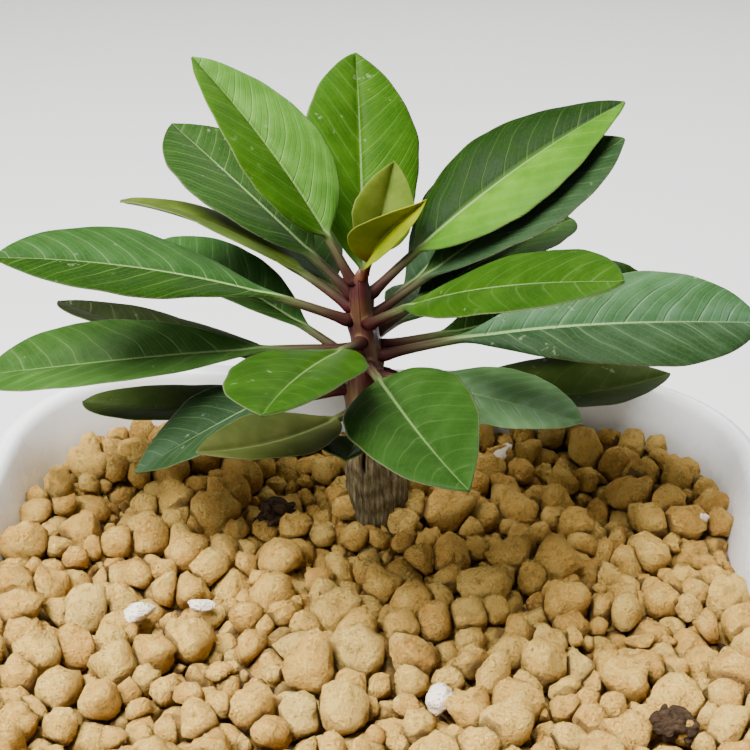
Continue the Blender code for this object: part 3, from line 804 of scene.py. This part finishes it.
# A pale tan crest on top of each cushion: partly its own colour, partly a painted highlight on its
# upper side.
young_colour = wood.mix(wood.times(wood.attribute("cushion_tan_and_highlight"), 0.70),
                        young_colour, (0.22, 0.15, 0.065))
youth = wood.span(wood.math("ADD", level, wood.times(wander, 0.12)), 0.34, 0.50)
grain = wood.times(strands, wood.span(youth, 0.0, 1.0, 1.0, 0.12))
wood.set(
    Base_Color=wood.mix(youth, bark_colour, young_colour),
    Roughness=wood.span(youth, 0.0, 1.0, 0.85, 0.34), Specular_IOR_Level=0.22,
    Normal=wood.bump(grain, 0.0010, 0.65, before=wood.bump(wander, 0.0005, 0.3)))
stem_rings, stem_layers = stem_surface()
stem = make_piece("caudex_and_stem", stem_rings, ring_faces(stem_rings), wood.material,
                  node="stem")
point_layers(stem, stem_layers)


# Leaves.
# Broad pointed blades on wine-red stalks, each grown from its cushion on the stem. A blade
# is thin and satin, a little folded along its pale midrib, quilted between its side veins
# and gently waved at its margin. Two young ones at the tip are small and olive.
BLADE_START = 0.2           # share of the length that is stalk
STALK_RADIUS = 0.80 * MM
YOUNG_STALK_RADIUS = 0.50 * MM
FOOT_DEPTH = 0.0007         # the stalk's foot goes this far into its cushion
BLADE_THICKNESS = 0.26 * MM
ARCH = 0.05
USUAL_WIDTH = 18 * MM
QUILT_HEIGHT = 0.09 * MM
CHANNEL_DEPTH = 0.22 * MM   # along the midrib's upper side
VEIN_PAIRS = 9.0
VEIN_SLANT = 0.70
VEIN_CURVE = 0.075
LEAF_ROWS = 84
LEAF_COLUMNS = 31

# Skin colours, with painted light and shade. Each leaf has one on either side of its midrib,
# then comes how strongly its veins show. The halves differ mostly by painted light and
# shade: a half that faces the light is paler, with painted sheen (PALE, SHEEN, SILVER_SHEEN),
# a half turned away or under other leaves is darker, with painted shade (DEEP, DARK, SHADED),
# and PAINTED_LIGHT brightens a leaf that other leaves shade. The leaves at the back are alike.
PALE, SHEEN = (0.066, 0.170, 0.021), (0.037, 0.089, 0.035)
SILVER_SHEEN, FRESH = (0.019, 0.059, 0.010), (0.016, 0.050, 0.0014)
GREEN, BLUE = (0.015, 0.044, 0.005), (0.017, 0.040, 0.014)
DEEP, DARK = (0.0085, 0.033, 0.0004), (0.030, 0.049, 0.008)
OLIVE, BRIGHT = (0.036, 0.045, 0.008), (0.025, 0.077, 0.0015)
SHADED, PAINTED_LIGHT = (0.009, 0.013, 0.003), (0.082, 0.165, 0.062)
DRAB, RIB = (0.050, 0.080, 0.008), (0.215, 0.320, 0.115)
BACK_LOOK = (GREEN, GREEN, 0.6)
LEAF_LOOKS = {
    "leaf_01": (OLIVE, OLIVE, 0.0), "leaf_02": (DEEP, DEEP, 0.2),
    "leaf_03": (DARK, DARK, 0.1), "leaf_04": (DARK, DARK, 0.25),
    "leaf_05": (SHADED, SHADED, 0.3), "leaf_06": (PAINTED_LIGHT, PAINTED_LIGHT, 0.8),
    "leaf_07": (GREEN, GREEN, 0.38), "leaf_08": (GREEN, SILVER_SHEEN, 0.8),
    "leaf_09": (BLUE, BLUE, 0.8), "leaf_10": (SHEEN, BLUE, 1.0),
    "leaf_12": ((0.034, 0.088, 0.014), (0.027, 0.068, 0.012), 0.8),
    "leaf_13": (FRESH, FRESH, 0.28), "leaf_16": (BRIGHT, BRIGHT, 0.7),
    "leaf_17": (BLUE, SILVER_SHEEN, 0.6), "leaf_18": (DEEP, SILVER_SHEEN, 1.0), "leaf_20": (GREEN, BLUE, 0.7),
    "leaf_21": (FRESH, FRESH, 0.45), "leaf_22": (DRAB, DRAB, 0.0),
    "leaf_23": (GREEN, GREEN, 1.0), "leaf_25": (BRIGHT, PALE, 0.7),
    "leaf_24": ((0.005, 0.021, 0.0002), (0.052, 0.142, 0.007), 0.6),
    "young_leaf_1": ((0.074, 0.104, 0.010), (0.060, 0.100, 0.010), 0.1),
    "young_leaf_2": ((0.165, 0.180, 0.004), (0.118, 0.146, 0.002), 0.0),
}


def leaf_frames(row):
    """Stations, midrib points, and the directions across and up at each.

    The midrib starts on the stem at its node, heads outward, turns with the square of the
    distance and bends evenly, so each point is the sum of the short steps before it.
    """
    node, heading, turn, rise, bend, length = row[:6]
    s = np.linspace(0.0, 1.0, LEAF_ROWS)
    yaw = math.radians(heading) + math.radians(turn) * s * s
    pitch = math.radians(rise) + math.radians(bend) * s
    step = np.stack([np.cos(pitch) * np.cos(yaw), np.cos(pitch) * np.sin(yaw), np.sin(pitch)], 1)
    run = np.cumsum((step[1:] + step[:-1]) / 2, axis=0) * length * MM / (LEAF_ROWS - 1)
    centre, radius = stem_at(np.array(float(node)))
    start = math.radians(heading)
    out = np.array([math.cos(start), math.sin(start), 0.0])
    seat = centre + (radius + GAP) * out
    path = seat + np.vstack([np.zeros((1, 3)), run])
    path[0] -= FOOT_DEPTH * out
    side = np.stack([-np.sin(yaw), np.cos(yaw), np.zeros_like(yaw)], 1)
    up = np.cross(step, side)
    roll = math.radians(row[7])
    across = math.cos(roll) * side + math.sin(roll) * up
    normal = -math.sin(roll) * side + math.cos(roll) * up
    return s, path, across, normal


def there_and_back(values):
    """Values across the upper face, followed by the same ones back across the lower face."""
    return np.concatenate([values, values[:, ::-1][:, 1:-1]], axis=1)


def leaf_surface(row, stalk, vein_strength, draw):
    """Upper and lower face of a leaf as closed rings, with each point's place on the blade.

    The half width is t ^ base power * (1 - t) ^ tip power along the blade, scaled to the
    leaf's width and joined to the stalk by a square-root sum. The faces are lifted by the
    fold and the arch, waved toward the margin, and quilted by a wave that follows the side
    veins, whose count falls off with the distance from the midrib and its square. The stalk
    is round, thins along its length and flares at its foot.
    """
    s, path, across, normal = leaf_frames(row)
    width, fold, base_power, tip_power = row[6] * MM, math.radians(row[8]), row[9], row[10]
    t = np.clip(s - BLADE_START, 0.0, 1.0) / (1.0 - BLADE_START)
    widest = base_power / (base_power + tip_power)
    outline = (t / widest) ** base_power * ((1.0 - t) / (1.0 - widest)) ** tip_power
    blade = width / 2 * outline
    stalk_here = stalk * (1.0 - 0.72 * s) * (1.0 + 0.55 * np.exp(-s / 0.025))
    flat = np.clip(blade / (2.5 * stalk), 0.0, 1.0)
    u = np.sin(np.linspace(-math.pi / 2, math.pi / 2, LEAF_COLUMNS)) * 0.5
    u = (u + 0.5 * np.linspace(-1.0, 1.0, LEAF_COLUMNS))[None, :]
    t, blade, stalk_here, flat = (v[:, None] for v in (t, blade, stalk_here, flat))
    phase = draw.uniform(0, 2 * math.pi, 4)
    rim = 1.0 + 0.012 * np.sin(17 * t + phase[0] + np.sign(u))
    rim = rim + 0.008 * np.sin(41 * t + phase[1] + 2 * np.sign(u))
    half = np.hypot(blade * rim, stalk_here)
    x = u * half
    distance = np.abs(u)
    lift = distance * blade * math.sin(fold) + ARCH * 4 * distance * (1 - distance) * blade
    wave = np.sin(2 * math.pi * (1.4 * t + phase[2]) + 1.6 * np.sign(u)) * 0.30
    wave += np.sin(2 * math.pi * (3.3 * t + phase[3]) - 1.1 * np.sign(u)) * 0.09
    lift = lift + wave * MM * distance ** 2.2 * flat * (width / USUAL_WIDTH)
    spacing = row[5] * (1.0 - BLADE_START) / VEIN_PAIRS
    reach = distance * half / MM
    count = t * VEIN_PAIRS - (VEIN_SLANT + VEIN_CURVE * reach) * reach / spacing
    quilt = (1 - np.cos((count + 0.5 * (u < 0)) * 2 * math.pi)) * 0.5
    spread = np.clip(distance * 3.0, 0, 1) * np.clip((1 - distance) * 4, 0, 1) * flat
    quilt = QUILT_HEIGHT * vein_strength * quilt ** 0.7 * spread
    round_off = np.sqrt(np.clip(1 - distance ** 6, 0, 1))
    stalk_round = np.sqrt(np.clip(1 - u * u, 0, 1)) * stalk_here
    thin = BLADE_THICKNESS * round_off
    channel = CHANNEL_DEPTH * np.exp(-(x / (0.45 * MM)) ** 2)
    keel = (0.55 * MM * (1 - t) + 0.10 * MM) * np.exp(-(x / (0.60 * MM)) ** 2)
    above = stalk_round * (1 - flat) + (thin + quilt - channel) * flat
    below = stalk_round * (1 - flat) + (thin - 0.8 * quilt + keel) * flat
    spread_out = path[:, None, :] + (x * math.cos(fold))[:, :, None] * across[:, None, :]
    upper, lower = (spread_out + (lift + offset)[:, :, None] * normal[:, None, :]
                    for offset in (above, -below))
    rings = np.concatenate([upper, lower[:, ::-1][:, 1:-1]], axis=1)
    place_s = np.broadcast_to(s[:, None], rings.shape[:2])
    place_u = there_and_back(np.broadcast_to(u, x.shape))
    top_face = np.concatenate([np.ones_like(x), np.zeros_like(x[:, 1:-1])], axis=1)
    return rings, place_s, place_u, {"top_face": top_face, "from_rib": there_and_back(reach),
                                     "vein_count": there_and_back(count)}


def leaf_material(name, stalk_top, stalk_under, shine, blush):
    """Leaf skin. The UV map gives the place along the leaf and across the blade.

    A side vein lies where the vein count is a whole number, or half a step on from one in
    the right half. The count, the colour of each half of the blade and the strength of its
    veins come with the piece, as attributes. The stalk's colours are stops along the leaf
    for its two faces, and give way to the blade's over the blush's span.
    """
    paint = Paint(name)
    at = paint.place()
    along, over, _ = paint.split(paint.uv())
    u = paint.math("MULTIPLY_ADD", over, 2.0, -1.0)
    distance = paint.math("ABSOLUTE", u)
    t = paint.span(along, BLADE_START, 1.0, smooth=False)
    skin_and_light_colour = paint.attribute("skin_and_painted_light", "Color")
    veins = paint.attribute("veins")
    top_face = paint.attribute("top_face")
    from_rib = paint.attribute("from_rib")

    wobble = paint.math("MULTIPLY_ADD", paint.noise(at, 75.0, detail=2.0), 0.8, -0.40)
    half_step = paint.times(paint.math("LESS_THAN", u, 0.0), 0.5)
    count = paint.math("ADD", paint.attribute("vein_count"), half_step)
    count = paint.math("ADD", count, wobble)
    vein_place = paint.math("PINGPONG", count, 0.5)
    patchy = paint.span(paint.noise(at, 120.0, detail=2.0), 0.34, 0.60, 0.45, 1.0)
    side_vein = paint.times(
        paint.span(vein_place, 0.055, 0.008), paint.span(distance, 0.95, 0.35, 0.15, 1.0),
        paint.span(t, 0.02, 0.12), patchy, veins)
    minor = paint.math("MULTIPLY_ADD", count, 3.0, paint.times(wobble, 2.0))
    minor = paint.times(paint.span(paint.math("PINGPONG", minor, 0.5), 0.16, 0.02), patchy, veins)
    net = paint.cells(at, 1300.0, feature="DISTANCE_TO_EDGE")
    net_vein = paint.times(paint.span(net, 0.12, 0.0), veins)
    rib_edge = paint.math("MULTIPLY_ADD", t, -0.28, 0.36)
    midrib = paint.times(
        paint.span(paint.math("DIVIDE", from_rib, rib_edge), 1.0, 0.40),
        paint.math("MULTIPLY_ADD", veins, 0.50, 0.24), paint.span(t, 0.30, 1.0, 1.0, 0.45))
    margin = paint.span(distance, 0.965, 0.995)

    mottle = paint.noise(at, 210.0, detail=5.0, roughness=0.6)
    broad = paint.noise(at, 42.0, detail=2.0)
    rich = paint.mix(paint.span(mottle, 0.38, 0.66, 0.0, 0.8), skin_and_light_colour,
                     paint.tinted(skin_and_light_colour, (1.50, 1.36, 1.60)))
    rich = paint.mix(paint.span(broad, 0.38, 0.66, 0.0, 0.75), rich,
                     paint.tinted(rich, (0.62, 0.72, 0.50)))
    # Painted shade: the blade is darker towards the middle between two side veins, as the shading
    # of its quilting.
    painted_quilt_shade = paint.times(paint.span(vein_place, 0.06, 0.34), veins)
    rich = paint.mix(paint.times(painted_quilt_shade, 0.60), rich, paint.tinted(rich, (0.64, 0.74, 0.50)))
    # Painted sheen: the blade is lightened to a silvery blue along the midrib.
    painted_midrib_sheen = paint.times(paint.span(from_rib, 5.0, 0.3, 0.0, 0.5), mottle)
    rich = paint.mix(painted_midrib_sheen, rich, paint.tinted(rich, (1.7, 1.4, 2.4)))
    spots = paint.times(paint.span(paint.noise(at, 520.0, detail=3.0), 0.64, 0.71),
                        paint.span(paint.noise(at, 60.0, detail=2.0), 0.50, 0.62))
    rich = paint.mix(paint.times(spots, 0.30), rich, (0.26, 0.32, 0.18))
    pale = paint.mix(0.55, skin_and_light_colour, RIB)
    skin_and_painted_light = paint.mix(paint.times(net_vein, 0.05), rich, pale)
    skin_and_painted_light = paint.mix(paint.times(minor, 0.09), skin_and_painted_light, pale)
    skin_and_painted_light = paint.mix(paint.times(side_vein, 0.42), skin_and_painted_light, pale)
    under = paint.mix(0.30, skin_and_light_colour, (0.11, 0.15, 0.075))
    under = paint.mix(paint.times(side_vein, 0.35), under, (0.20, 0.25, 0.12))
    skin_and_painted_light = paint.mix(top_face, under, skin_and_painted_light)
    skin_and_painted_light = paint.mix(midrib, skin_and_painted_light, RIB)
    skin_and_painted_light = paint.mix(paint.times(margin, 0.35), skin_and_painted_light, (0.26, 0.25, 0.13))

    stalk = paint.mix(top_face, paint.ramp(along, stalk_under), paint.ramp(along, stalk_top))
    streak = paint.noise(paint.stretched(paint.uv(), (9.0, 34.0, 1.0)), 1.0, detail=3.0)
    stalk = paint.mix(paint.span(streak, 0.45, 0.66, 0.0, 0.55), stalk,
                      paint.tinted(stalk, (2.1, 2.2, 2.3)))
    groove = paint.times(paint.span(from_rib, 0.30, 0.12), top_face)
    stalk = paint.mix(paint.times(groove, 0.6), stalk, (0.030, 0.014, 0.010))
    colour = paint.mix(paint.span(along, *blush), stalk, skin_and_painted_light)
    relief = paint.math("SUBTRACT", paint.times(mottle, 0.50), side_vein)
    relief = paint.math("SUBTRACT", relief, paint.times(minor, 0.35))
    paint.set(Base_Color=colour, Roughness=paint.span(mottle, 0.3, 0.7, 0.42, 0.58),
              Specular_IOR_Level=shine, Normal=paint.bump(relief, 0.00018, 0.7))
    return paint.material


def place_on_leaf(piece, place_s, place_u, looks, layers):
    """UV map from the leaf's own places, the two halves' colours, and the point layers."""
    mesh = piece.data
    corner_points = np.empty(len(mesh.loops), dtype=np.int32)
    mesh.loops.foreach_get("vertex_index", corner_points)
    uv = np.column_stack([place_s.ravel(), place_u.ravel() * 0.5 + 0.5])[corner_points]
    mesh.uv_layers.new(name="blade").data.foreach_set("uv", uv.astype(np.float32).ravel())
    # The two halves' colours hold painted light and shade: one half paler where it faces the
    # light, the other darker.
    left, right, vein_strength = looks
    share = np.clip(place_u.ravel() / 0.16 + 0.5, 0, 1)[:, None]
    colours = np.array(left) * share + np.array(right) * (1 - share)
    colours = np.column_stack([colours, np.ones(len(colours))]).astype(np.float32)
    mesh.attributes.new("skin_and_painted_light", "FLOAT_COLOR", "POINT").data.foreach_set("color", colours.ravel())
    layers["veins"] = np.full(place_s.size, vein_strength)
    point_layers(piece, layers)


leaf_skin = leaf_material(
    "satin_green_leaf",
    stalk_top=((0.0, (0.022, 0.005, 0.005)), (0.05, (0.032, 0.014, 0.009)),
               (0.12, (0.052, 0.043, 0.021)), (0.24, (0.080, 0.102, 0.036))),
    stalk_under=((0.0, (0.035, 0.005, 0.007)), (0.06, (0.045, 0.008, 0.009)),
                 (0.15, (0.062, 0.032, 0.018)), (0.24, (0.10, 0.11, 0.04))),
    shine=0.05, blush=(0.15, 0.26))
young_skin = leaf_material(
    "young_olive_leaf",
    stalk_top=((0.0, (0.060, 0.014, 0.006)), (0.14, (0.058, 0.014, 0.005)),
               (0.28, (0.12, 0.066, 0.005)), (0.42, (0.125, 0.132, 0.004))),
    stalk_under=((0.0, (0.058, 0.013, 0.006)), (0.20, (0.052, 0.012, 0.005)),
                 (0.34, (0.13, 0.07, 0.004)), (0.50, (0.13, 0.11, 0.004))),
    shine=0.0, blush=(0.14, 0.42))
for order, (name, row) in enumerate(LEAVES.items()):
    young = name.startswith("young")
    looks = LEAF_LOOKS.get(name, BACK_LOOK)
    draw = np.random.default_rng(100 + order)
    rings, place_s, place_u, layers = leaf_surface(
        row, YOUNG_STALK_RADIUS if young else STALK_RADIUS, looks[2], draw)
    outward = [face[::-1] for face in ring_faces(rings)]
    piece = make_piece(name + "_blade", rings, outward, young_skin if young else leaf_skin,
                       node=name)
    place_on_leaf(piece, place_s, place_u, looks, layers)
